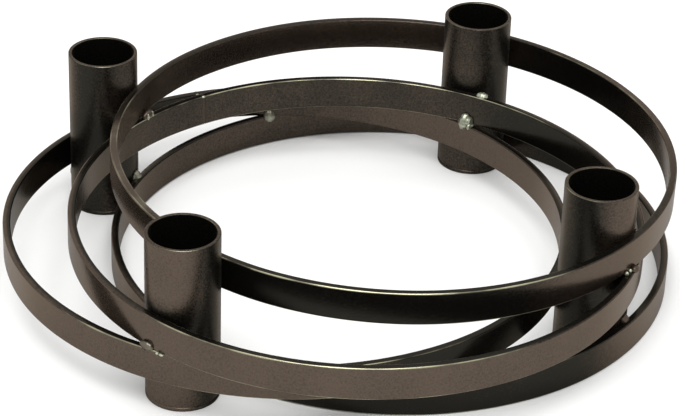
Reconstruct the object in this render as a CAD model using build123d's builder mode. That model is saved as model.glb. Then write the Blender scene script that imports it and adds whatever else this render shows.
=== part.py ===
"""Table-top advent candle holder: four rings of flat bar stacked on one another, each
pushed to one side, and tack-welded round four upright tubes that hold the candles.

Frame: +Z up, the table is Z = 0, X runs along the longer side, -Y is the front.
The origin is the middle of the footprint, on the table. Millimetres and degrees.
"""
from build123d import *
from collections import namedtuple
from math import atan2, cos, degrees, hypot, radians, sin, sqrt, tan
import os

os.makedirs("parts", exist_ok=True)

# Flat bar that all four rings are rolled from
ring_diameter = 200.0
bar_height = 11.5
bar_thickness = 2.7
bar_edge_radius = 0.6

# Candle tubes; the height is from the table to the rim
tube_diameter = 25.0
tube_wall = 1.3
tube_height = 61.5
tube_rim_radius = 0.4

# Disc welded under each tube, which carries the candle and stands on the table
base_thickness = 1.5
base_edge_radius = 0.4

# Layout: how far the tubes' diagonals lean from a square's 45 degrees towards the long
# side, the slack between a tube and a ring, the slack between stacked rings, and the
# height of the lowest ring above the table
tube_skew = 2.3
contact_gap = 0.2
stack_gap = 0.4
ring_lift = 0.4

# Lean of the two upper rings, which were not welded quite level: the rise towards +X
# and towards +Y
front_ring_rise_x = -0.35
front_ring_rise_y = 0.6
top_ring_rise_x = -0.5
top_ring_rise_y = 0.7

# Welds: a butt seam closes each ring, a bead holds each crossing and each tube
seam_width = 1.2
seam_inset = 0.15
bead_radius = 2.3
bead_length = 8.0
front_ring_seam_bearing = 110.0
left_ring_seam_bearing = 96.0
bottom_ring_seam_bearing = 54.0
top_ring_seam_bearing = 49.0

# How far a bead was laid from its crossing or from where its tube touches the bar, along
# the upper ring and anticlockwise seen from above
front_on_left_back_slide = -3.0
front_on_left_front_slide = -2.0
top_on_front_back_slide = -6.0
top_on_front_front_slide = -5.0
back_left_tube_slide = 5.0
back_right_tube_slide = -6.0
front_right_tube_slide = 4.0

# Radii that follow from the sizes above
ring_radius = ring_diameter / 2
ring_inner_radius = ring_radius - bar_thickness
ring_middle_radius = ring_radius - bar_thickness / 2
tube_radius = tube_diameter / 2
tube_bore_radius = tube_radius - tube_wall

# Plan. A tube stands outer_reach from the middle of a ring that passes inside it, and
# inner_reach from the middle of a ring that passes round it. Rings pushed sideways by
# side_shift then touch all four tubes.
outer_reach = ring_radius + tube_radius + contact_gap
inner_reach = ring_inner_radius - tube_radius - contact_gap
tube_bearing = radians(45 - tube_skew)
mean_square = (outer_reach**2 + inner_reach**2) / 2
shift_product = (outer_reach**2 - inner_reach**2) / (4 * cos(tube_bearing))
tube_distance = sqrt((mean_square + sqrt(mean_square**2 - 4 * shift_product**2)) / 2)
side_shift = shift_product / tube_distance
tube_x = tube_distance * cos(tube_bearing)
tube_y = tube_distance * sin(tube_bearing)

# The front ring is pushed forward just far enough to clear the back tubes on its outside
# and the front tubes on its inside
clear_of_back_tubes = sqrt(outer_reach**2 - tube_x**2) - tube_y
clear_of_front_tubes = tube_y - sqrt(inner_reach**2 - tube_x**2)
front_shift = max(clear_of_back_tubes, clear_of_front_tubes)

# The footprint reaches further to the front, so everything moves back by half of that
middle_y = front_shift / 2

Ring = namedtuple("Ring", "x y z slope_x slope_y seam")
Tube = namedtuple("Tube", "x y")

tubes = {
    "back_left_tube": Tube(-tube_x, middle_y + tube_y),
    "front_left_tube": Tube(-tube_x, middle_y - tube_y),
    "back_right_tube": Tube(tube_x, middle_y + tube_y),
    "front_right_tube": Tube(tube_x, middle_y - tube_y),
}


def height_at(ring, x, y):
    """Height of a ring's middle plane above the table at a place in plan."""
    return ring.z + ring.slope_x * (x - ring.x) + ring.slope_y * (y - ring.y)


def crossings(one, other, radius):
    """The two places in plan where circles of this radius round both rings' middles meet."""
    apart = hypot(other.x - one.x, other.y - one.y)
    along_x = (other.x - one.x) / apart
    along_y = (other.y - one.y) / apart
    half_chord = sqrt(radius**2 - (apart / 2) ** 2)
    middle_x = (one.x + other.x) / 2
    middle_of_y = (one.y + other.y) / 2
    return [
        (middle_x - side * half_chord * along_y, middle_of_y + side * half_chord * along_x)
        for side in (-1, 1)
    ]


def laid_on(lower, ring):
    """The ring, lifted until it clears the lower ring by the stack gap at both crossings."""
    lifts = [
        height_at(lower, x, y) - height_at(ring, x, y)
        for x, y in crossings(lower, ring, ring_middle_radius)
    ]
    return ring._replace(z=max(lifts) + bar_height + stack_gap)


# Rings from the table up, each laid on the one before
bottom_ring = Ring(side_shift, middle_y, ring_lift + bar_height / 2, 0, 0, bottom_ring_seam_bearing)
left_ring = laid_on(bottom_ring, Ring(-side_shift, middle_y, 0, 0, 0, left_ring_seam_bearing))
front_slope_x = tan(radians(front_ring_rise_x))
front_slope_y = tan(radians(front_ring_rise_y))
front_ring = laid_on(
    left_ring,
    Ring(0, middle_y - front_shift, 0, front_slope_x, front_slope_y, front_ring_seam_bearing),
)
top_slope_x = tan(radians(top_ring_rise_x))
top_slope_y = tan(radians(top_ring_rise_y))
top_ring = laid_on(
    front_ring, Ring(side_shift, middle_y, 0, top_slope_x, top_slope_y, top_ring_seam_bearing)
)
rings = {
    "bottom_ring": bottom_ring,
    "left_ring": left_ring,
    "front_ring": front_ring,
    "top_ring": top_ring,
}


def section_plane(ring, bearing):
    """Upright plane through a ring's axis: its x points outwards, its y up the axis."""
    normal = Vector(-ring.slope_x, -ring.slope_y, 1).normalized()
    outward = Vector(cos(radians(bearing)), sin(radians(bearing)), 0)
    outward = (outward - normal * outward.dot(normal)).normalized()
    return Plane(origin=(ring.x, ring.y, ring.z), x_dir=outward, z_dir=outward.cross(normal))


def ring_axis(ring):
    """The axis that a ring is rolled about."""
    return Axis((ring.x, ring.y, ring.z), (-ring.slope_x, -ring.slope_y, 1))


# The rings: the bar's section carried round the axis, open by the width of the butt seam
seam_angle = degrees(seam_width / ring_middle_radius)
ring_parts = []
for name, ring in rings.items():
    with BuildPart() as hoop:
        with BuildSketch(section_plane(ring, ring.seam + seam_angle / 2)):
            with Locations((ring_middle_radius, 0)):
                RectangleRounded(bar_thickness, bar_height, bar_edge_radius)
        revolve(axis=ring_axis(ring), revolution_arc=360 - seam_angle)
    hoop.part.label = name
    export_step(hoop.part, f"parts/{name}.step")
    ring_parts.append(hoop.part)

# The butt seams: a slightly smaller section that fills the opening face to face
for name, ring in rings.items():
    with BuildPart() as seam:
        with BuildSketch(section_plane(ring, ring.seam - seam_angle / 2)):
            with Locations((ring_middle_radius, 0)):
                RectangleRounded(
                    bar_thickness - 2 * seam_inset,
                    bar_height - 2 * seam_inset,
                    bar_edge_radius,
                )
        revolve(axis=ring_axis(ring), revolution_arc=seam_angle)
    seam.part.label = f"{name}_seam"
    export_step(seam.part, f"parts/{name}_seam.step")

# The discs that stand on the table, and the tubes on them, open at the top
tube_posts = []
for name, tube in tubes.items():
    with BuildPart() as base:
        with BuildSketch(Plane((tube.x, tube.y, 0))):
            Circle(tube_radius)
        extrude(amount=base_thickness)
        fillet(base.faces().sort_by(Axis.Z)[0].edges(), min(base_edge_radius, base_thickness / 3))
    base_name = name.replace("tube", "base")
    base.part.label = base_name
    export_step(base.part, f"parts/{base_name}.step")

    with BuildPart() as socket:
        with BuildSketch(Plane((tube.x, tube.y, base_thickness))):
            Circle(tube_radius)
            Circle(tube_bore_radius, mode=Mode.SUBTRACT)
        extrude(amount=tube_height - base_thickness)
        rim = socket.faces().sort_by(Axis.Z)[-1]
        fillet(rim.edges(), min(tube_rim_radius, tube_wall / 3))
    socket.part.label = name
    export_step(socket.part, f"parts/{name}.step")

    with BuildPart() as post:
        with BuildSketch(Plane((tube.x, tube.y, 0))):
            Circle(tube_radius)
        extrude(amount=tube_height)
    tube_posts.append(post.part)


def bead_plane(x, y, z, along):
    """Level plane at a weld, with its x along the bead."""
    return Plane(origin=(x, y, z), x_dir=(cos(along), sin(along), 0), z_dir=(0, 0, 1))


def largest(solids):
    """The largest of some solids, by volume."""
    return solids.sort_by(SortBy.VOLUME)[-1]


def boxes_meet(one, other):
    """Whether two bounding boxes overlap."""
    lows = zip(one.min, other.max)
    highs = zip(one.max, other.min)
    return all(low < high for low, high in lows) and all(high > low for high, low in highs)


# What a bead is cut back to: the rings, the outsides of the tubes and the beads before it
bead_limits = [(limit, limit.bounding_box()) for limit in ring_parts + tube_posts]


def make_bead(plane, radius, label):
    """A straight bead of weld with round ends, cut back to what it joins."""
    with BuildPart() as bead:
        with BuildSketch(plane):
            SlotOverall(bead_length, 2 * radius)
            with Locations((0, -radius)):
                Rectangle(2 * bead_length, 2 * radius, mode=Mode.SUBTRACT)
        revolve(axis=Axis(plane.origin, plane.x_dir))
        bead_box = bead.part.bounding_box()
        for limit, limit_box in bead_limits:
            if boxes_meet(bead_box, limit_box):
                add(limit, mode=Mode.SUBTRACT)
    with BuildPart() as weld:
        add(largest(bead.part.solids()))
    weld.part.label = label
    export_step(weld.part, f"parts/{label}.step")
    bead_limits.append((weld.part, bead_box))


# Crossing welds: two where each ring lies on the one below, on the inside of the bar at
# the back and on the outside at the front
crossing_welds = (
    ("bottom_ring", "left_ring", "back", 0),
    ("bottom_ring", "left_ring", "front", 0),
    ("left_ring", "front_ring", "back", front_on_left_back_slide),
    ("left_ring", "front_ring", "front", front_on_left_front_slide),
    ("front_ring", "top_ring", "back", top_on_front_back_slide),
    ("front_ring", "top_ring", "front", top_on_front_front_slide),
)
for lower_name, upper_name, place, slide in crossing_welds:
    lower = rings[lower_name]
    upper = rings[upper_name]
    at_back = place == "back"
    pair = crossings(lower, upper, ring_inner_radius if at_back else ring_radius)
    x, y = sorted(pair, key=lambda point: point[1])[-1 if at_back else 0]
    across = atan2(y - (lower.y + upper.y) / 2, x - (lower.x + upper.x) / 2)
    along = across + radians(90)
    x += slide * cos(along)
    y += slide * sin(along)
    z = (height_at(lower, x, y) + height_at(upper, x, y)) / 2
    gap = height_at(upper, x, y) - height_at(lower, x, y) - bar_height
    label = f"{upper_name}_on_{lower_name}_{place}_weld"
    make_bead(bead_plane(x, y, z, along), bead_radius + gap / 2, label)

# Tube welds: each tube is held at two rings, by a bead in the groove beside the place
# where it touches the bar, along the bar's upper or lower edge
tube_welds = (
    ("back_left_tube", "bottom_ring", "upper", 0),
    ("back_left_tube", "left_ring", "lower", back_left_tube_slide),
    ("front_left_tube", "bottom_ring", "upper", 0),
    ("front_left_tube", "top_ring", "upper", 0),
    ("back_right_tube", "front_ring", "upper", back_right_tube_slide),
    ("back_right_tube", "left_ring", "lower", 0),
    ("front_right_tube", "bottom_ring", "upper", 0),
    ("front_right_tube", "top_ring", "upper", front_right_tube_slide),
)
for tube_name, ring_name, edge, slide in tube_welds:
    tube = tubes[tube_name]
    ring = rings[ring_name]
    stands_outside = hypot(tube.x - ring.x, tube.y - ring.y) > ring_radius
    bar_face = ring_radius if stands_outside else ring_inner_radius
    bearing = atan2(tube.y - ring.y, tube.x - ring.x) + slide / bar_face
    face_x = ring.x + bar_face * cos(bearing)
    face_y = ring.y + bar_face * sin(bearing)
    reach = hypot(tube.x - face_x, tube.y - face_y)
    half_gap = (reach - tube_radius) / 2
    x = face_x + half_gap * (tube.x - face_x) / reach
    y = face_y + half_gap * (tube.y - face_y) / reach
    half_height = bar_height / 2 if edge == "upper" else -bar_height / 2
    z = height_at(ring, x, y) + half_height
    label = f"{tube_name}_to_{ring_name}_weld"
    plane = bead_plane(x, y, z, bearing + radians(90))
    make_bead(plane, max(bead_radius, half_gap) + contact_gap / 2, label)
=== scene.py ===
from math import cos, pi, radians, sin
from typing import NamedTuple

import bpy
import numpy as np
from bpy.props import FloatProperty, FloatVectorProperty, IntProperty, PointerProperty
from mathutils import Matrix, Vector


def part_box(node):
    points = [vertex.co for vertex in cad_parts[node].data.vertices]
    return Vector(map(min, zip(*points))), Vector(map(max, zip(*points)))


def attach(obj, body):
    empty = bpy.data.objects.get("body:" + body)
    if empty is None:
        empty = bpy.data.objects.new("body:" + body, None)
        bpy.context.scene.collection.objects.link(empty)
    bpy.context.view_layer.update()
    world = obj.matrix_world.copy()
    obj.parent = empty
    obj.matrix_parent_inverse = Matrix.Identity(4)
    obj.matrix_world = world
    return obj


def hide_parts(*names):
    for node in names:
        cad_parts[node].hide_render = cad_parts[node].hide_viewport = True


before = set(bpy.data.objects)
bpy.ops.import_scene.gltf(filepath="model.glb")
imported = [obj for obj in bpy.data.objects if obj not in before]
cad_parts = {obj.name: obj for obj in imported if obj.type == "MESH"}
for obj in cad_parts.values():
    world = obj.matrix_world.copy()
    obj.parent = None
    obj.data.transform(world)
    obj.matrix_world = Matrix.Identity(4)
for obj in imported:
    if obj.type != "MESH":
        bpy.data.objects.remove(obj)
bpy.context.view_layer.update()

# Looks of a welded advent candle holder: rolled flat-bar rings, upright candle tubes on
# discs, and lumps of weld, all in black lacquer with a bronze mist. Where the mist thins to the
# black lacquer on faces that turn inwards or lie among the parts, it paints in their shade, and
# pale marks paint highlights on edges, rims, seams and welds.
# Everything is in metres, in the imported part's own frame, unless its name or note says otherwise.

bl_info = {
    "name": "Advent candle holder",
    "version": (1, 0, 0),
    "blender": (4, 5, 0),
    "location": "3D View > Sidebar > Candle Holder",
    "description": "Dresses a welded ring candle holder in its coated finish on a pale floor",
    "category": "Object",
}

MM = 0.001
RINGS = ("bottom_ring", "left_ring", "front_ring", "top_ring")
TUBES = ("back_left_tube", "front_left_tube", "back_right_tube", "front_right_tube")
# Middle of the holder, seen from above
MIDDLE = np.array([0.0, (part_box("bottom_ring")[0].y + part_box("bottom_ring")[1].y) / 2])

# Points round a rounded corner and along the flats of a section, and rows across a butt seam
CORNER_POINTS = 9
BAR_FLAT_POINTS = 7
TUBE_FLAT_POINTS = 40
SEAM_ROWS = 17

# Ends of the smooth steps in a ring's finish: how far the outward direction, seen from above,
# points to the front, the back, either side, or the front left
TOWARDS_FRONT = (0.45, 0.75)
TOWARDS_BACK = (0.3, 0.8)
TOWARDS_SIDES = (0.7, 0.95)
TOWARDS_FRONT_LEFT = (0.6, 0.95)
FRONT_LEFT = (-0.34, -0.94)

# Mist on a ring, where thin mist paints shade: how gently the right share of its inner face comes in
# behind, and how many millimetres to either side of the depth of the painted shade under the front
# ring the mist takes to thin
TURN_BLEND = 0.3
SHADE_BLEND = 5.0

# Mist on a bar's edges, where thin mist paints shade: what it loses towards the front and the back,
# the least that is left, where it fades across the edge, and where towards the back its further
# reach ends
EDGE_FRONT_LOSS = 1.1
EDGE_BACK_LOSS = 0.4
EDGE_LEAST = 0.05
EDGE_FADE = (-0.25, 0.2)
EDGE_REACH_END = (0.2, 0.6)

# Painted highlight on a bar's corners all round, and what is added at the front left
CORNER_HIGHLIGHT = 0.4
FRONT_LEFT_HIGHLIGHT = 0.7

# Mist on a tube, where thin mist paints shade: how far a place faces out of the holder where it
# starts and where it is full, so the side that faces in is painted in shade, the scatter on that
# side, the heights where a band of painted shade and dark reflection of the rings begins and
# ceases and what it loses there, and how far inwards a face leans that counts as the bore
FACING_OUT = (-0.05, 1.0)
INWARD_SCATTER = 0.5
RING_SHADE_BEGINS = (10 * MM, 16 * MM)
RING_SHADE_CEASES = (34 * MM, 44 * MM)
RING_SHADE_LOSS = 0.85
BORE_LEAN = 0.5

# Mist and painted highlight on a tube's rim
RIM_MIST = 0.7
RIM_HIGHLIGHT = 1.3

# Chance waves over a lump of weld, how quickly they and the ripples along its bead follow each
# other, and the part of the ripple's height that each of them has
LUMP_WAVES = 7
LUMP_WAVE_RATE = 2.2
BEAD_RIPPLE_RATE = 11
RIPPLE_PART = 0.5

# Mist on a lump of weld, and the painted highlight of its palest kind, which paints glints
WELD_MIST = 0.8
GLINT_HIGHLIGHT = 1.4

# Grains of the coat from crest to crest. Flake is finer than this on the real coat, and is drawn
# as coarse as it needs to be to show. Clouds are where the spray gun lingered, and peel is the
# orange-peel relief of a sprayed coat.
FLAKE = 0.7 * MM
CLOUD = 16 * MM
PEEL = 1.0 * MM
PEEL_DEPTH = 0.05 * MM

# How much the clouds weigh in the mist, and how much more mist turns none into full cover
CLOUD_WEIGHT = 0.4
COVER_BLEND = 1.3

WHITE = (1, 1, 1, 1)


class RollWave(NamedTuple):
    """A sine wave round a rolled bar: its share of the whole wander, how many crests it has round
    the ring, and the angle that it starts from."""

    share: float
    crests: int
    start: float


ROLL_WAVES = (
    RollWave(share=0.6, crests=5, start=1.0),
    RollWave(share=0.4, crests=11, start=2.0),
)


class RingFinish(NamedTuple):
    """Share of the mist on a ring's inner face on the left and on the right, where a low share paints
    the inner face in shade, between which shares of the radius to the right the one turns into the
    other, from which share of the radius behind it does so in full, how far the mist on its edges
    reaches inwards at the sides as a share of the bar's thickness from its middle, how strong the
    painted highlight is on its edges at the sides and on its corners at the back, and how many
    millimetres inside the front ring its outer face is half in painted shade."""

    inner_left: float
    inner_right: float
    turn_start: float = 0.55
    turn_end: float = 0.92
    turn_behind: float = 0.3
    edge_reach: float = 0.0
    side_highlight: float = 0.0
    back_highlight: float = CORNER_HIGHLIGHT
    shade_depth: float = 50.0


RING_FINISH = {
    "bottom_ring": RingFinish(inner_left=0.62, inner_right=0.1, shade_depth=5),
    "left_ring": RingFinish(
        inner_left=0.15, inner_right=1.05,
        turn_start=-0.3, turn_end=1.0, turn_behind=-0.3, shade_depth=20,
    ),
    "front_ring": RingFinish(inner_left=0.44, inner_right=0.0, back_highlight=0.95),
    "top_ring": RingFinish(
        inner_left=0.8, inner_right=0.15, edge_reach=0.6, side_highlight=0.5, shade_depth=14,
    ),
}


class Lump(NamedTuple):
    """A lump of weld: its half sizes, how pale it is, where pale paints highlights and glints on it,
    and its shift from the middle of its weld along the bead, outwards and upwards. Lengths are in
    millimetres."""

    length: float
    depth: float
    height: float
    pale: float = 0.1
    along: float = 0.0
    out: float = 0.0
    up: float = 0.0


# Pale lumps paint highlights and glints on the weld
LUMPS = {
    "front_ring_on_left_ring_back_weld": (
        Lump(1.6, 2.0, 1.5, pale=1.0, along=-0.4, up=2.8),
        Lump(1.4, 2.2, 1.6, pale=1.0, along=1.1, up=1.6),
        Lump(0.9, 2.1, 1.6, pale=0.9, along=1.8, up=-0.2),
        Lump(2.1, 1.9, 2.6, pale=0.55, along=-1.2, up=-0.1),
    ),
    "front_ring_on_left_ring_front_weld": (
        Lump(2.5, 1.2, 1.6, pale=0.5, along=1.2, up=0.9),
        Lump(0.6, 0.7, 0.5, pale=1.0, along=-3.7, out=0.9, up=0.4),
        Lump(0.9, 0.7, 0.4, pale=1.0, along=-5.2, out=0.8, up=0.2),
    ),
    "left_ring_on_bottom_ring_back_weld": (Lump(2.2, 1.8, 2.6, pale=0.5, along=-1.2),),
    "left_ring_on_bottom_ring_front_weld": (Lump(2.4, 1.5, 1.8),),
    "top_ring_on_front_ring_back_weld": (
        Lump(3.0, 1.4, 1.6, pale=0.0, along=1.8, up=0.2),
        Lump(0.5, 0.8, 1.3, pale=0.8, along=0.4, out=-0.9, up=0.1),
        Lump(0.5, 0.8, 1.3, pale=0.8, along=3.2, out=-0.9, up=0.1),
    ),
    "top_ring_on_front_ring_front_weld": (
        Lump(1.9, 1.4, 1.3, along=-1.0),
        Lump(0.6, 0.7, 0.9, pale=1.0, along=3.9, out=-0.8, up=0.3),
        Lump(0.6, 0.7, 0.7, pale=1.0, along=1.4, out=-0.7, up=0.3),
    ),
    "back_left_tube_to_bottom_ring_weld": (Lump(1.9, 1.8, 2.5, pale=0.7, up=0.5),),
    "back_left_tube_to_left_ring_weld": (
        Lump(1.0, 1.0, 1.8, pale=0.9, along=0.6, out=-0.5, up=-2.4),
    ),
    "front_left_tube_to_bottom_ring_weld": (Lump(2.4, 1.5, 1.7),),
    "front_left_tube_to_top_ring_weld": (Lump(2.4, 1.5, 1.7),),
    "back_right_tube_to_front_ring_weld": (Lump(2.3, 1.6, 1.4, pale=1.0, along=3.4, out=-1.2),),
    "back_right_tube_to_left_ring_weld": (Lump(1.8, 1.4, 1.4, pale=0.0),),
    "front_right_tube_to_bottom_ring_weld": (
        Lump(2.2, 1.5, 2.0, along=-1.4),
        Lump(0.8, 0.9, 1.2, pale=1.0, along=1.3, out=0.6, up=-1.4),
    ),
    "front_right_tube_to_top_ring_weld": (Lump(0.9, 0.9, 0.9, pale=0.0, up=-0.8),),
}


class Coat(NamedTuple):
    """The coat of a material slot: its name, which colour shows where a highlight is painted, how much
    more mist it took than its marks say, how strongly its flake breaks up the mist, and how rough it
    is."""

    name: str
    highlit: str
    extra_mist: float
    grain: float
    roughness: float


COATS = {
    "coated_bar": Coat(
        "bronze mist on black lacquered flat bar",
        highlit="highlighted", extra_mist=0.0, grain=1.3, roughness=0.18,
    ),
    "coated_tube": Coat(
        "bronze mist on black lacquered tube",
        highlit="highlighted", extra_mist=0.0, grain=1.4, roughness=0.29,
    ),
    "coated_weld": Coat(
        "bronze mist on lacquered weld",
        highlit="weld", extra_mist=0.2, grain=1.1, roughness=0.38,
    ),
}


class Lamp(NamedTuple):
    """A square soft lamp: its place, the length of its side, and its power in watts."""

    place: tuple
    side: float
    power: float


LAMPS = {
    "overhead_softbox": Lamp(place=(0.0, 0.1, 1.4), side=1.6, power=9.0),
    "front_softbox": Lamp(place=(-0.2, -0.6, 1.1), side=0.7, power=8.0),
}


def linear(hex_colour):
    """Linear red, green and blue of an sRGB hex colour such as 584d44."""
    srgb = np.array([int(hex_colour[i:i + 2], 16) for i in (0, 2, 4)]) / 255
    return tuple(np.where(srgb <= 0.04045, srgb / 12.92, ((srgb + 0.055) / 1.055) ** 2.4))


def node_points(node):
    """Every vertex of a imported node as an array, one row each."""
    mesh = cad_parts[node].data
    points = np.empty(len(mesh.vertices) * 3)
    mesh.vertices.foreach_get("co", points)
    return points.reshape(-1, 3)


def middle_of(node):
    """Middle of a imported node's box."""
    low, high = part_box(node)
    return (np.array(low) + np.array(high)) / 2


class Hoop:
    """A packed ring's middle, axis, radii, bar thickness and bar height, measured from its
    vertices. The axis is the direction in which they spread least."""

    def __init__(self, node):
        self.middle = middle_of(node)
        away = node_points(node) - self.middle
        self.axis = np.linalg.svd(away, full_matrices=False)[2][2]
        self.axis *= np.sign(self.axis[2])
        along = away @ self.axis
        reach = np.linalg.norm(away - np.outer(along, self.axis), axis=1)
        self.outer = reach.max()
        self.inner = reach.min()
        self.thickness = self.outer - self.inner
        self.height = along.max() - along.min()
        self.first = np.cross([0.0, 1.0, 0.0], self.axis)
        self.first /= np.linalg.norm(self.first)
        self.second = np.cross(self.axis, self.first)

    def bearing_of(self, point):
        """Bearing of a point, or of each row of points, round the hoop's axis."""
        away = np.asarray(point) - self.middle
        return np.arctan2(away @ self.second, away @ self.first)

    def outward(self, bearing):
        """Unit vectors that point outwards at some bearings."""
        return np.cos(bearing)[..., None] * self.first + np.sin(bearing)[..., None] * self.second

    def seam_span(self, seam):
        """Bearing of the middle of a seam's node, and half the angle that the seam takes up."""
        middle = self.bearing_of(middle_of(seam))
        spread = np.abs(self.bearing_of(node_points(seam)) - middle)
        return middle, np.minimum(spread, 2 * pi - spread).max()


class BarSettings(bpy.types.PropertyGroup):
    """Sizes of the rolled flat bar and of its seams."""

    edge_radius: FloatProperty(
        name="Edge radius", description="Rounding of the bar's long edges",
        default=0.6 * MM, min=0.05 * MM, unit="LENGTH",
    )
    roll_wave: FloatProperty(
        name="Rolling wave", description="How far the rolled bar wanders in and out",
        default=0.06 * MM, min=0.0, unit="LENGTH",
    )
    seam_sink: FloatProperty(
        name="Seam sink", description="How far the sides of a butt seam lie below the bar",
        default=0.04 * MM, min=0.0, unit="LENGTH",
    )
    seam_crown: FloatProperty(
        name="Seam crown", description="How far the middle of a butt seam stands proud of the bar",
        default=0.12 * MM, min=0.0, unit="LENGTH",
    )
    # Painted highlight on a seam's corners, as a multiple of the bar's
    seam_highlight: FloatProperty(
        name="Seam rub", description="How many times as much as the bar's a seam's corners are rubbed",
        default=3.0, min=0.0,
    )
    steps: IntProperty(
        name="Steps round", description="Sections round a ring", default=900, min=48,
    )


class TubeSettings(bpy.types.PropertyGroup):
    """Sizes of the candle tubes and of the discs under them."""

    rim_radius: FloatProperty(
        name="Rim radius", description="Rounding of the tube's mouth",
        default=0.4 * MM, min=0.05 * MM, unit="LENGTH",
    )
    foot_radius: FloatProperty(
        name="Foot radius", description="Rounding of the disc's lower edge",
        default=0.4 * MM, min=0.05 * MM, unit="LENGTH",
    )
    steps: IntProperty(
        name="Steps round", description="Sections round a tube", default=256, min=32,
    )


class WeldSettings(bpy.types.PropertyGroup):
    """Sizes of the lumps of weld."""

    ripple: FloatProperty(
        name="Ripple", description="Height of the ripples as a share of a lump's size",
        default=0.05, min=0.0, max=0.4, subtype="FACTOR",
    )
    steps: IntProperty(
        name="Steps", description="Rows of a lump, which has twice as many columns",
        default=40, min=12,
    )
    seed: IntProperty(
        name="Seed", description="Starts the chance ripples of the lumps", default=3, min=0,
    )


class FinishSettings(bpy.types.PropertyGroup):
    """Colours of the finish and of its painted highlights."""

    lacquer: FloatVectorProperty(
        name="Black lacquer", description="Coat under the mist",
        default=linear("282723"), size=3, subtype="COLOR", min=0, max=1,
    )
    # Bronze mist; where its mark is low the black lacquer shows and paints shade
    mist_and_shade: FloatVectorProperty(
        name="Bronze mist", description="Metallic mist on the outer faces",
        default=linear("584d44"), size=3, subtype="COLOR", min=0, max=1,
    )
    # Khaki of the painted highlights on the bars' edges and the tubes' rims
    highlighted: FloatVectorProperty(
        name="Rubbed edge", description="Khaki bronze where the edges are rubbed",
        default=linear("9e9c83"), size=3, subtype="COLOR", min=0, max=1,
    )
    # Greenish grey of the painted highlights and glints on the lumps of weld and the seams
    weld: FloatVectorProperty(
        name="Weld", description="Greenish grey of the coated weld",
        default=linear("a5a996"), size=3, subtype="COLOR", min=0, max=1,
    )
    sheen: FloatVectorProperty(
        name="Grazing sheen", description="Warm grey of the mirror at grazing angles",
        default=linear("e5ded7"), size=3, subtype="COLOR", min=0, max=1,
    )


class StageSettings(bpy.types.PropertyGroup):
    """Camera, floor and light."""

    camera_bearing: FloatProperty(
        name="Camera bearing", description="Turn of the camera round the object",
        default=radians(-16.571), subtype="ANGLE",
    )
    camera_elevation: FloatProperty(
        name="Camera elevation", description="Angle of the view above the floor",
        default=radians(29.785), subtype="ANGLE",
    )
    camera_roll: FloatProperty(
        name="Camera roll", description="Lean of the camera about its view",
        default=radians(1.942), subtype="ANGLE",
    )
    camera_distance: FloatProperty(
        name="Camera distance", description="From the aim to the camera",
        default=935.03 * MM, unit="LENGTH",
    )
    camera_aim: FloatVectorProperty(
        name="Camera aim", description="Point in the middle of the picture",
        default=(-0.43 * MM, 8.29 * MM, 25.56 * MM), size=3, subtype="TRANSLATION",
    )
    camera_lens: FloatProperty(
        name="Lens", description="Focal length in millimetres", default=139.4, unit="CAMERA",
    )
    camera_sensor: FloatProperty(
        name="Sensor", description="Width of the sensor in millimetres", default=36.0, unit="CAMERA",
    )
    floor_colour: FloatVectorProperty(
        name="Floor", description="Pale floor",
        default=linear("f4f4f3"), size=3, subtype="COLOR", min=0, max=1,
    )
    floor_roughness: FloatProperty(
        name="Floor roughness", description="How matt the floor is",
        default=0.9, min=0.0, max=1.0, subtype="FACTOR",
    )
    floor_reach: FloatProperty(
        name="Floor reach", description="From the middle of the floor to its sides",
        default=3.0, unit="LENGTH",
    )
    lamp_aim: FloatProperty(
        name="Lamp aim", description="Height that the lamps point at",
        default=30 * MM, unit="LENGTH",
    )
    fill_light: FloatProperty(
        name="Fill light", description="Strength of the white surroundings as a light",
        default=0.75, min=0.0,
    )
    seen_white: FloatProperty(
        name="Seen white", description="Strength of the white surroundings as they are seen",
        default=1.0, min=0.0,
    )


class CandleHolderSettings(bpy.types.PropertyGroup):
    """All the settings of the candle holder."""

    bar: PointerProperty(
        name="Flat bar", description="Sizes of the rings and their seams", type=BarSettings,
    )
    tube: PointerProperty(
        name="Tubes", description="Sizes of the tubes and their discs", type=TubeSettings,
    )
    weld: PointerProperty(
        name="Weld", description="Sizes of the lumps of weld", type=WeldSettings,
    )
    finish: PointerProperty(
        name="Finish", description="Colours of the coat", type=FinishSettings,
    )
    stage: PointerProperty(
        name="Stage", description="Camera, floor and light", type=StageSettings,
    )


def rounded_section(width, height, radius, flat_points):
    """Outline of a rounded rectangle, anticlockwise, and its outward normals: each corner is
    a quarter circle round its own middle, and evenly spaced points fill the flats between."""
    corners = []
    turns = []
    signs = ((1, -1), (1, 1), (-1, 1), (-1, -1))
    for quarter, (side, top) in enumerate(signs):
        turn = (quarter - 1) * pi / 2 + np.linspace(0, pi / 2, CORNER_POINTS)
        middle = np.array([side * (width / 2 - radius), top * (height / 2 - radius)])
        corners.append(middle + radius * np.stack([np.cos(turn), np.sin(turn)], axis=1))
        turns.append(turn)
    outline = []
    normals = []
    for quarter in range(4):
        start = corners[quarter][-1]
        end = corners[(quarter + 1) % 4][0]
        share = np.linspace(0, 1, flat_points + 2)[1:-1, None]
        facing = np.array([cos(turns[quarter][-1]), sin(turns[quarter][-1])])
        bend = np.stack([np.cos(turns[quarter]), np.sin(turns[quarter])], axis=1)
        outline += [corners[quarter], start + share * (end - start)]
        normals += [bend, np.repeat(facing[None], flat_points, axis=0)]
    return np.concatenate(outline), np.concatenate(normals)


def grid_quads(rows, columns, rows_close, columns_close):
    """Quads of a grid of points, with the last row or column joined to the first where closed."""
    row = np.arange(rows if rows_close else rows - 1)[:, None]
    column = np.arange(columns if columns_close else columns - 1)[None, :]
    next_row = (row + 1) % rows
    next_column = (column + 1) % columns
    corners = (
        row * columns + column,
        next_row * columns + column,
        next_row * columns + next_column,
        row * columns + next_column,
    )
    return np.stack(corners, axis=-1).reshape(-1, 4)


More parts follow.
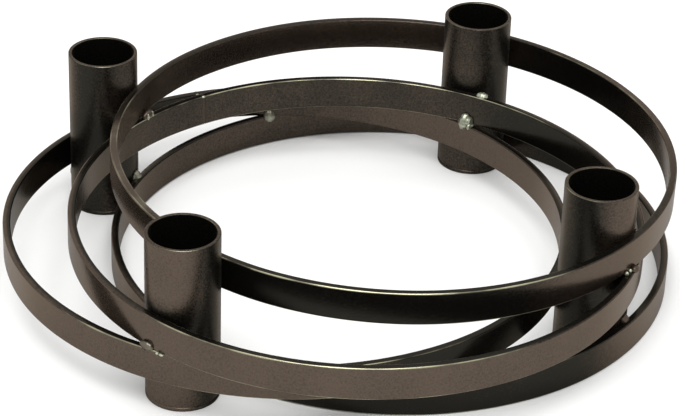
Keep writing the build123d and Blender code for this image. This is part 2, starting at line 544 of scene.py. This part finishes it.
def bar_faces(rows, columns):
    """Faces of a bar of sections: quads all round it, and one face across each end."""
    faces = grid_quads(rows, columns, False, True).tolist()
    faces.append(list(range(columns)))
    faces.append(list(range(rows * columns - 1, (rows - 1) * columns - 1, -1)))
    return faces


def carried_section(hoop, outline, normals, bearings, wave):
    """A section carried round a hoop: each point stands at the bar's middle radius plus its
    own offset, along the outward direction at that bearing, and at its own height up the axis.
    The middle radius wanders by two slow sine waves."""
    radius = (hoop.outer + hoop.inner) / 2
    wander = wave * sum(roll.share * np.sin(roll.crests * bearings + roll.start) for roll in ROLL_WAVES)
    outward = hoop.outward(bearings)[:, None, :]
    reach = (radius + wander)[:, None, None] + outline[None, :, :1]
    points = hoop.middle + reach * outward + outline[None, :, 1:] * hoop.axis
    facing = normals[None, :, :1] * outward + normals[None, :, 1:] * hoop.axis
    return points, facing


def turned(profile, normals, middle, steps):
    """A profile of radius and height turned round an upright axis: each point goes round a circle
    of its own radius at its own height."""
    turn = np.linspace(0, 2 * pi, steps, endpoint=False)
    round_x = np.cos(turn)[:, None]
    round_y = np.sin(turn)[:, None]
    points = np.stack([
        middle[0] + round_x * profile[None, :, 0],
        middle[1] + round_y * profile[None, :, 0],
        np.repeat(profile[None, :, 1], steps, axis=0),
    ], axis=-1)
    facing = np.stack([
        round_x * normals[None, :, 0],
        round_y * normals[None, :, 0],
        np.repeat(normals[None, :, 1], steps, axis=0),
    ], axis=-1)
    return points, facing


def lump_surface(middle, ways, halves, weld, chance):
    """A lump of weld: a sphere of directions, each reaching 1 plus a few low waves and a row of
    ripples along the bead, stretched by the half sizes along the bead, outwards and upwards.
    Gives its points, its quads, and the triangles round its two poles."""
    columns = 2 * weld.steps
    down = np.linspace(0, pi, weld.steps + 2)[1:-1, None]
    turn = np.linspace(0, 2 * pi, columns, endpoint=False)[None, :]
    ball = np.stack([
        np.cos(down) + 0 * turn,
        np.sin(down) * np.cos(turn),
        np.sin(down) * np.sin(turn),
    ], axis=-1)
    poles = np.array([[1.0, 0, 0], [-1.0, 0, 0]])
    ball = np.concatenate([ball.reshape(-1, 3), poles])
    reach = np.ones(len(ball))
    for _ in range(LUMP_WAVES):
        way = chance.normal(size=3) * LUMP_WAVE_RATE
        reach += weld.ripple * RIPPLE_PART * np.sin(ball @ way + chance.uniform(0, 2 * pi))
    bead = ball[:, 0] * BEAD_RIPPLE_RATE
    reach += weld.ripple * RIPPLE_PART * np.cos(bead + chance.uniform(0, 2 * pi))
    stretched = ball * reach[:, None] * np.asarray(halves)
    points = middle + stretched @ ways
    quads = grid_quads(weld.steps, columns, False, True)[:, ::-1]
    around = np.arange(columns)
    onward = (around + 1) % columns
    last_row = (weld.steps - 1) * columns
    first_pole = np.full(columns, len(ball) - 2)
    last_pole = np.full(columns, len(ball) - 1)
    triangles = np.concatenate([
        np.stack([first_pole, around, onward], axis=1),
        np.stack([last_pole, last_row + onward, last_row + around], axis=1),
    ])
    return points, quads, triangles


def smooth_step(values, low, high):
    """Values taken smoothly from 0 at the low end to 1 at the high end."""
    share = np.clip((values - low) / (high - low), 0, 1)
    return share * share * (3 - 2 * share)


def openness(places):
    """How far places lie outside the front ring: the distance from its middle, seen from above,
    less its radius."""
    front = Hoop("front_ring")
    return np.linalg.norm((places - front.middle)[:, :2], axis=1) - front.outer


def bar_marks(node, hoop, outline, normals, bearings):
    """Mist and painted highlight round a bar's section, by the way that each place faces. The outer
    face has full mist, which fades to painted shade in a smooth step where it faces the front and lies
    deep inside the front ring. The inner face has its left share, and goes in a smooth step towards the
    right to its right share, while the front keeps the left one; a low share paints it in shade. The
    edges have mist on their outer half, least at the front of the holder and most at its sides, and it
    may reach further in except at the back; where it is thin it paints them in shade. The three are
    blended by the squares of the normal. The painted highlight peaks on the four rounded corners, most
    at the front left, and has a level of its own at the back. The edges may have painted highlights at
    the sides."""
    ring = RING_FINISH[node]
    outward = hoop.outward(bearings)
    right = outward[:, None, 0]
    behind = outward[:, None, 1]
    open_air = openness(hoop.middle + hoop.outer * outward)[:, None]
    deep = -(ring.shade_depth + SHADE_BLEND) * MM
    shallow = -(ring.shade_depth - SHADE_BLEND) * MM
    # Painted shade on the outer face where it faces the front deep inside the front ring
    covered = 1 - smooth_step(open_air, deep, shallow)
    outer = 1 - covered * smooth_step(-behind, *TOWARDS_FRONT)
    far_right = smooth_step(right, ring.turn_start, ring.turn_end)
    far_right = far_right * smooth_step(behind, ring.turn_behind - TURN_BLEND, ring.turn_behind)
    # A low share paints the inner face in shade
    inner = ring.inner_left + (ring.inner_right - ring.inner_left) * far_right
    edge = np.clip(1 + EDGE_FRONT_LOSS * behind, EDGE_LEAST, 1)
    edge = edge * (1 - EDGE_BACK_LOSS * np.clip(behind, 0, 1))
    across = outline[:, 0] / hoop.thickness
    reach = ring.edge_reach * (1 - smooth_step(behind, *EDGE_REACH_END))
    edge = edge * smooth_step(across + reach, *EDGE_FADE)
    mist_and_shade = outer * np.clip(normals[:, 0], 0, 1) ** 2
    mist_and_shade = mist_and_shade + inner * np.clip(-normals[:, 0], 0, 1) ** 2 + edge * normals[:, 1] ** 2
    front_left = FRONT_LEFT[0] * right + FRONT_LEFT[1] * behind
    highlight_strength = CORNER_HIGHLIGHT + FRONT_LEFT_HIGHLIGHT * smooth_step(front_left, *TOWARDS_FRONT_LEFT)
    highlight_strength = highlight_strength + (ring.back_highlight - CORNER_HIGHLIGHT) * smooth_step(behind, *TOWARDS_BACK)
    side = ring.side_highlight * smooth_step(np.abs(right), *TOWARDS_SIDES)
    # Painted highlights on the rounded corners, and on the edges at the sides
    highlight = 2 * np.abs(normals[:, 0] * normals[:, 1]) * highlight_strength + side * normals[:, 1] ** 2
    return {"mist_and_shade": mist_and_shade, "highlight": highlight}


def outward_mist_and_shade(facing, middle):
    """Mist round an upright piece, with painted shade: a smooth step of how far each place faces away
    from the middle of the holder, from none just inside of side on, so that the side that faces in is
    painted in shade, to full where it faces straight out, and a thin scatter that grows where it
    faces in."""
    away = np.asarray(middle[:2]) - MIDDLE
    away = away / np.linalg.norm(away)
    faced = facing[..., 0] * away[0] + facing[..., 1] * away[1]
    return smooth_step(faced, *FACING_OUT) + INWARD_SCATTER * np.clip(-faced, 0, 1)


def tube_marks(points, facing, normals, middle):
    """Mist and painted highlight of a tube: no mist in the bore, which paints it in shade, the outward
    mist outside, thinned in smooth steps into a band of painted shade and dark reflection at the
    heights where the rings stand beside it, and on the rim mist by the square of how far it faces up.
    The painted highlight peaks on the two rounded edges of the rim."""
    inside = normals[:, 0] < -BORE_LEAN
    mist_and_shade = np.where(inside, 0.0, outward_mist_and_shade(facing, middle))
    height = points[..., 2]
    # A band of painted shade and dark reflection where the rings stand beside the tube
    among = smooth_step(height, *RING_SHADE_BEGINS) * (1 - smooth_step(height, *RING_SHADE_CEASES))
    mist_and_shade = mist_and_shade * (1 - RING_SHADE_LOSS * among)
    mist_and_shade = np.maximum(mist_and_shade, RIM_MIST * np.clip(facing[..., 2], 0, 1) ** 2)
    # Painted highlight on the rim's two rounded edges
    rim_highlight = RIM_HIGHLIGHT * np.abs(normals[:, 0] * normals[:, 1])
    return {"mist_and_shade": mist_and_shade, "highlight": np.where(height > middle[2], rim_highlight, 0.0)}


def add(tree, kind, links=None, **settings):
    """Adds a node with its settings, and fills its inputs from values or other sockets."""
    node = tree.nodes.new(kind)
    for name, value in settings.items():
        setattr(node, name, value)
    for name, value in (links or {}).items():
        if isinstance(value, bpy.types.NodeSocket):
            tree.links.new(value, node.inputs[name])
        else:
            node.inputs[name].default_value = value
    return node


def per_metre(size):
    """Noise scale whose grains are about this many metres across."""
    return 1.0 / size


def coated_material(coat):
    """Black metallic lacquer with a bronze mist. The lacquer is a greenish black that mirrors
    softly; the mist is fine flake, dense where its mark is full and a scatter of specks
    elsewhere, so that the bare lacquer paints shade where the mark is low; painted highlights
    turn the edges khaki. The eye gets dark satin faces that lighten towards the outside by this
    painted shade, paler and less mirroring where they turn away, and thin bright lines along the
    edges, which are painted highlights."""
    finish = bpy.context.scene.candle_holder.finish
    lacquer_colour = (*finish.lacquer, 1)
    mist_colour = (*finish.mist_and_shade, 1)
    highlight_colour = (*getattr(finish, coat.highlit), 1)
    material = bpy.data.materials.new(coat.name)
    material.use_nodes = True
    tree = material.node_tree
    tree.nodes.clear()
    place = add(tree, "ShaderNodeTexCoord").outputs["Object"]
    mist_and_shade = add(tree, "ShaderNodeAttribute", attribute_name="mist_and_shade").outputs["Fac"]
    # Painted highlights on edges, rims, seams and pale lumps of weld
    highlight = add(tree, "ShaderNodeAttribute", attribute_name="highlight").outputs["Fac"]
    speck = add(tree, "ShaderNodeTexNoise", {
        "Vector": place, "Scale": per_metre(FLAKE), "Detail": 2.0, "Roughness": 0.6,
    }).outputs["Fac"]
    cloud = add(tree, "ShaderNodeTexNoise", {
        "Vector": place, "Scale": per_metre(CLOUD), "Detail": 3.0, "Roughness": 0.5,
    }).outputs["Fac"]
    # The mark on the surface, broken up by flake and by clouds
    specked = add(tree, "ShaderNodeMath", {
        0: speck, 1: coat.grain, 2: mist_and_shade,
    }, operation="MULTIPLY_ADD").outputs[0]
    uneven = add(tree, "ShaderNodeMath", {
        0: cloud, 1: CLOUD_WEIGHT, 2: specked,
    }, operation="MULTIPLY_ADD").outputs[0]
    # The two noises average a half each, which the range takes off again
    no_mist = 0.5 * (coat.grain + CLOUD_WEIGHT) - coat.extra_mist
    cover = add(tree, "ShaderNodeMapRange", {
        "Value": uneven, "From Min": no_mist, "From Max": no_mist + COVER_BLEND,
    }, interpolation_type="SMOOTHSTEP").outputs["Result"]
    # The clouds also break up the painted highlights, leaving some of those places coated
    highlight_strength = add(tree, "ShaderNodeMath", {0: highlight, 1: cloud}, operation="MULTIPLY").outputs[0]
    highlit = add(tree, "ShaderNodeMapRange", {
        "Value": highlight_strength, "From Min": 0.25, "From Max": 0.6,
    }, interpolation_type="SMOOTHSTEP").outputs["Result"]
    # A colour Mix takes its factor at 0 and its two colours at 6 and 7
    coated = add(tree, "ShaderNodeMix", {
        0: cover, 6: lacquer_colour, 7: mist_colour,
    }, data_type="RGBA").outputs[2]
    colour = add(tree, "ShaderNodeMix", {
        0: highlit, 6: coated, 7: highlight_colour,
    }, data_type="RGBA").outputs[2]
    # Satin that wavers a little from flake to flake
    satin = add(tree, "ShaderNodeMapRange", {
        "Value": speck, "From Min": 0.3, "From Max": 0.7,
        "To Min": coat.roughness - 0.04, "To Max": coat.roughness + 0.06,
    }).outputs["Result"]
    # Flop of a flake coat: it mirrors seen straight on and scatters at grazing angles
    facing = add(tree, "ShaderNodeLayerWeight", {"Blend": 0.5}).outputs["Facing"]
    metal = add(tree, "ShaderNodeMapRange", {
        "Value": facing, "From Min": 0.65, "From Max": 0.9, "To Min": 0.88, "To Max": 0.42,
    }, interpolation_type="SMOOTHSTEP").outputs["Result"]
    peel = add(tree, "ShaderNodeTexNoise", {
        "Vector": place, "Scale": per_metre(PEEL), "Detail": 2.0,
    }).outputs["Fac"]
    relief = add(tree, "ShaderNodeBump", {
        "Height": peel, "Strength": 0.35, "Distance": PEEL_DEPTH,
    }).outputs["Normal"]
    # The part that scatters has no gloss of its own
    shader = add(tree, "ShaderNodeBsdfPrincipled", {
        "Base Color": colour, "Metallic": metal, "Roughness": satin, "Normal": relief,
        "Specular IOR Level": 0.0, "Specular Tint": (*finish.sheen, 1),
    })
    add(tree, "ShaderNodeOutputMaterial", {"Surface": shader.outputs["BSDF"]})
    return material


def finish_of(slot):
    """The material of a slot, made when it is first asked for."""
    coat = COATS[slot]
    return bpy.data.materials.get(coat.name) or coated_material(coat)


def make_piece(name, node, slot, points, faces, marks, normals=None):
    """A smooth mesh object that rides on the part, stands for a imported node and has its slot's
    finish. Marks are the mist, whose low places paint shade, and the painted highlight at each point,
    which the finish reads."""
    mesh = bpy.data.meshes.new(name)
    mesh.from_pydata(points.reshape(-1, 3).tolist(), [], faces)
    mesh.polygons.foreach_set("use_smooth", np.ones(len(mesh.polygons), dtype=bool))
    for label, values in marks.items():
        layer = mesh.attributes.new(label, "FLOAT", "POINT")
        layer.data.foreach_set("value", np.ascontiguousarray(values, dtype=np.float32).ravel())
    mesh.update()
    if normals is not None:
        mesh.normals_split_custom_set_from_vertices(normals.reshape(-1, 3).tolist())
    mesh.materials.append(finish_of(slot))
    piece = bpy.data.objects.new(name, mesh)
    bpy.context.scene.collection.objects.link(piece)
    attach(piece, "root")
    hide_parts(node)


class CANDLEHOLDER_OT_rings(bpy.types.Operator):
    """Makes the rolled flat-bar rings"""

    bl_idname = "candle_holder.rings"
    bl_label = "Flat-bar rings"

    def execute(self, context):
        bar = context.scene.candle_holder.bar
        for node in RINGS:
            hoop = Hoop(node)
            middle, half_gap = hoop.seam_span(f"{node}_seam")
            outline, normals = rounded_section(
                hoop.thickness, hoop.height, bar.edge_radius, BAR_FLAT_POINTS)
            bearings = np.linspace(middle + half_gap, middle + 2 * pi - half_gap, bar.steps)
            points, facing = carried_section(hoop, outline, normals, bearings, bar.roll_wave)
            faces = bar_faces(bar.steps, len(outline))
            marks = bar_marks(node, hoop, outline, normals, bearings)
            make_piece(f"{node}_bar", node, "coated_bar", points, faces, marks, facing)
        return {"FINISHED"}


class CANDLEHOLDER_OT_seams(bpy.types.Operator):
    """Makes the butt seams that close the rings"""

    bl_idname = "candle_holder.seams"
    bl_label = "Butt seams"

    def execute(self, context):
        bar = context.scene.candle_holder.bar
        for node in RINGS:
            hoop = Hoop(node)
            seam = f"{node}_seam"
            middle, half_gap = hoop.seam_span(seam)
            outline, normals = rounded_section(
                hoop.thickness - 2 * bar.seam_sink, hoop.height - 2 * bar.seam_sink,
                bar.edge_radius, BAR_FLAT_POINTS)
            across = np.linspace(-1, 1, SEAM_ROWS)
            bearings = middle + half_gap * across
            points, facing = carried_section(hoop, outline, normals, bearings, bar.roll_wave)
            # The bead swells between its two sunk sides, as half a cosine wave
            swell = (bar.seam_sink + bar.seam_crown) * np.cos(across * pi / 2)
            points = points + swell[:, None, None] * facing
            faces = bar_faces(SEAM_ROWS, len(outline))
            marks = bar_marks(node, hoop, outline, normals, bearings)
            # The seam's corners get a stronger painted highlight than the bar's
            marks["highlight"] = bar.seam_highlight * marks["highlight"]
            make_piece(f"{seam}_weld", seam, "coated_weld", points, faces, marks)
        return {"FINISHED"}


class CANDLEHOLDER_OT_tubes(bpy.types.Operator):
    """Makes the candle tubes"""

    bl_idname = "candle_holder.tubes"
    bl_label = "Candle tubes"

    def execute(self, context):
        tube = context.scene.candle_holder.tube
        for node in TUBES:
            low, high = (np.array(corner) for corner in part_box(node))
            middle = (low + high) / 2
            reach = np.linalg.norm(node_points(node)[:, :2] - middle[:2], axis=1)
            wall = reach.max() - reach.min()
            radius = (reach.max() + reach.min()) / 2
            outline, normals = rounded_section(
                wall, high[2] - low[2], tube.rim_radius, TUBE_FLAT_POINTS)
            profile = outline + [radius, middle[2]]
            points, facing = turned(profile, normals, middle, tube.steps)
            faces = grid_quads(tube.steps, len(profile), True, True).tolist()
            marks = tube_marks(points, facing, normals, middle)
            make_piece(f"{node}_socket", node, "coated_tube", points, faces, marks, facing)
        return {"FINISHED"}


class CANDLEHOLDER_OT_bases(bpy.types.Operator):
    """Makes the discs under the tubes"""

    bl_idname = "candle_holder.bases"
    bl_label = "Base discs"

    def execute(self, context):
        tube = context.scene.candle_holder.tube
        for node in TUBES:
            base = node.replace("tube", "base")
            low, high = (np.array(corner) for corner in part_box(base))
            middle = (low + high) / 2
            radius = (high[0] - low[0]) / 2
            # The profile is a quarter circle at the foot, and then the top of the disc's side
            edge = tube.foot_radius
            turn = np.linspace(-pi / 2, 0, CORNER_POINTS)
            bend = np.stack([np.cos(turn), np.sin(turn)], axis=1)
            rounded = [radius - edge, low[2] + edge] + edge * bend
            profile = np.concatenate([rounded, [[radius, high[2]]]])
            normals = np.concatenate([bend, [[1.0, 0.0]]])
            points, facing = turned(profile, normals, middle, tube.steps)
            count = len(profile)
            faces = grid_quads(tube.steps, count, True, False).tolist()
            # One face closes the underside, and one the top
            underside = np.arange(tube.steps) * count
            faces.append(underside[::-1].tolist())
            faces.append((underside + count - 1).tolist())
            # The side of a disc that faces in is painted in shade
            mist_and_shade = outward_mist_and_shade(facing, middle)
            marks = {"mist_and_shade": mist_and_shade, "highlight": np.zeros_like(mist_and_shade)}
            make_piece(f"{base}_disc", base, "coated_tube", points, faces, marks)
        return {"FINISHED"}


class CANDLEHOLDER_OT_welds(bpy.types.Operator):
    """Makes the lumps of weld at the crossings and the tubes"""

    bl_idname = "candle_holder.welds"
    bl_label = "Weld lumps"

    def execute(self, context):
        weld = context.scene.candle_holder.weld
        chance = np.random.default_rng(weld.seed)
        up = np.array([0.0, 0.0, 1.0])
        for node, lumps in LUMPS.items():
            middle = middle_of(node)
            out = np.array([*(middle[:2] - MIDDLE), 0.0])
            out /= np.linalg.norm(out)
            along = np.cross(out, up)
            ways = np.stack([along, out, up])
            points = np.empty((0, 3))
            pale = np.empty(0)
            faces = []
            for lump in lumps:
                halves = np.array([lump.length, lump.depth, lump.height]) * MM
                place = middle + (lump.along * along + lump.out * out + lump.up * up) * MM
                surface, quads, triangles = lump_surface(place, ways, halves, weld, chance)
                faces += (len(points) + quads).tolist()
                faces += (len(points) + triangles).tolist()
                points = np.concatenate([points, surface])
                pale = np.concatenate([pale, np.full(len(surface), lump.pale)])
            # Pale lumps carry painted highlights and glints
            marks = {"mist_and_shade": np.full(len(points), WELD_MIST), "highlight": GLINT_HIGHLIGHT * pale}
            make_piece(f"{node}_lump", node, "coated_weld", points, faces, marks)
        return {"FINISHED"}


class CANDLEHOLDER_OT_stage(bpy.types.Operator):
    """Makes the pale floor, the soft light and the camera"""

    bl_idname = "candle_holder.stage"
    bl_label = "Floor, light and camera"

    def execute(self, context):
        scene = context.scene
        stage = scene.candle_holder.stage
        self.make_floor(scene, stage)
        self.make_world(scene, stage)
        for name, lamp in LAMPS.items():
            self.make_lamp(scene, stage, name, lamp)
        self.make_camera(scene, stage)
        scene.view_settings.view_transform = "Standard"
        return {"FINISHED"}

    def make_floor(self, scene, stage):
        """A wide flat sheet of matt white paper under the feet, which gives a pale ground with a
        soft shadow and no gloss."""
        reach = stage.floor_reach
        corners = [(-reach, -reach, 0), (reach, -reach, 0), (reach, reach, 0), (-reach, reach, 0)]
        mesh = bpy.data.meshes.new("floor")
        mesh.from_pydata(corners, [], [(0, 1, 2, 3)])
        floor = bpy.data.objects.new("floor", mesh)
        scene.collection.objects.link(floor)
        material = bpy.data.materials.new("matt white paper")
        material.use_nodes = True
        shader = material.node_tree.nodes["Principled BSDF"]
        shader.inputs["Base Color"].default_value = (*stage.floor_colour, 1)
        shader.inputs["Roughness"].default_value = stage.floor_roughness
        shader.inputs["Specular IOR Level"].default_value = 0.0
        mesh.materials.append(material)

    def make_world(self, scene, stage):
        """White for what the eye and reflections see, and a softer level as light."""
        world = bpy.data.worlds.new("white studio")
        scene.world = world
        world.use_nodes = True
        tree = world.node_tree
        tree.nodes.clear()
        path = add(tree, "ShaderNodeLightPath").outputs
        seen = add(tree, "ShaderNodeMath", {
            0: path["Is Camera Ray"], 1: path["Is Glossy Ray"],
        }, operation="MAXIMUM").outputs[0]
        seen = add(tree, "ShaderNodeMath", {
            0: seen, 1: path["Is Transmission Ray"],
        }, operation="MAXIMUM").outputs[0]
        light = add(tree, "ShaderNodeBackground", {
            "Color": WHITE, "Strength": stage.fill_light,
        }).outputs[0]
        white = add(tree, "ShaderNodeBackground", {
            "Color": WHITE, "Strength": stage.seen_white,
        }).outputs[0]
        mix = add(tree, "ShaderNodeMixShader", {0: seen, 1: light, 2: white}).outputs[0]
        add(tree, "ShaderNodeOutputWorld", {"Surface": mix})

    def make_lamp(self, scene, stage, name, lamp):
        """A soft area lamp that points at the middle of the holder."""
        light = bpy.data.lights.new(name, "AREA")
        light.shape = "SQUARE"
        light.size = lamp.side
        light.energy = lamp.power
        holder = bpy.data.objects.new(name, light)
        scene.collection.objects.link(holder)
        holder.location = lamp.place
        aim = Vector((*MIDDLE, stage.lamp_aim)) - Vector(lamp.place)
        holder.rotation_euler = aim.to_track_quat("-Z", "Y").to_euler()

    def make_camera(self, scene, stage):
        """A long lens at the bearing and elevation, rolled about its view."""
        bearing = stage.camera_bearing
        elevation = stage.camera_elevation
        roll = stage.camera_roll
        right = Vector((cos(bearing), sin(bearing), 0))
        level = Vector((-sin(bearing), cos(bearing), 0))
        view = cos(elevation) * level + Vector((0, 0, -sin(elevation)))
        up = right.cross(view)
        rolled_right = cos(roll) * right + sin(roll) * up
        rolled_up = cos(roll) * up - sin(roll) * right
        turn = Matrix((rolled_right, rolled_up, -view)).transposed().to_4x4()
        lens = bpy.data.cameras.new("camera")
        lens.lens = stage.camera_lens
        lens.sensor_width = stage.camera_sensor
        camera = bpy.data.objects.new("camera", lens)
        scene.collection.objects.link(camera)
        place = Vector(stage.camera_aim) - stage.camera_distance * view
        camera.matrix_world = Matrix.Translation(place) @ turn
        scene.camera = camera


class CANDLEHOLDER_PT_panel(bpy.types.Panel):
    """Lists the steps that dress the candle holder"""

    bl_idname = "CANDLEHOLDER_PT_panel"
    bl_label = "Candle Holder"
    bl_space_type = "VIEW_3D"
    bl_region_type = "UI"
    bl_category = "Candle Holder"

    def draw(self, context):
        for step in STEPS:
            self.layout.operator(step.bl_idname)


STEPS = (
    CANDLEHOLDER_OT_rings,
    CANDLEHOLDER_OT_seams,
    CANDLEHOLDER_OT_tubes,
    CANDLEHOLDER_OT_bases,
    CANDLEHOLDER_OT_welds,
    CANDLEHOLDER_OT_stage,
)
SETTINGS = (
    BarSettings,
    TubeSettings,
    WeldSettings,
    FinishSettings,
    StageSettings,
    CandleHolderSettings,
)


def register():
    """Registers the settings, the steps and the panel."""
    for item in (*SETTINGS, *STEPS, CANDLEHOLDER_PT_panel):
        bpy.utils.register_class(item)
    bpy.types.Scene.candle_holder = PointerProperty(type=CandleHolderSettings)


def unregister():
    """Takes the settings, the steps and the panel away again."""
    del bpy.types.Scene.candle_holder
    for item in reversed((*SETTINGS, *STEPS, CANDLEHOLDER_PT_panel)):
        bpy.utils.unregister_class(item)


def main():
    """Registers the add-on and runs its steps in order."""
    register()
    bpy.ops.candle_holder.rings()
    bpy.ops.candle_holder.seams()
    bpy.ops.candle_holder.tubes()
    bpy.ops.candle_holder.bases()
    bpy.ops.candle_holder.welds()
    bpy.ops.candle_holder.stage()


if __name__ == "__main__":
    main()
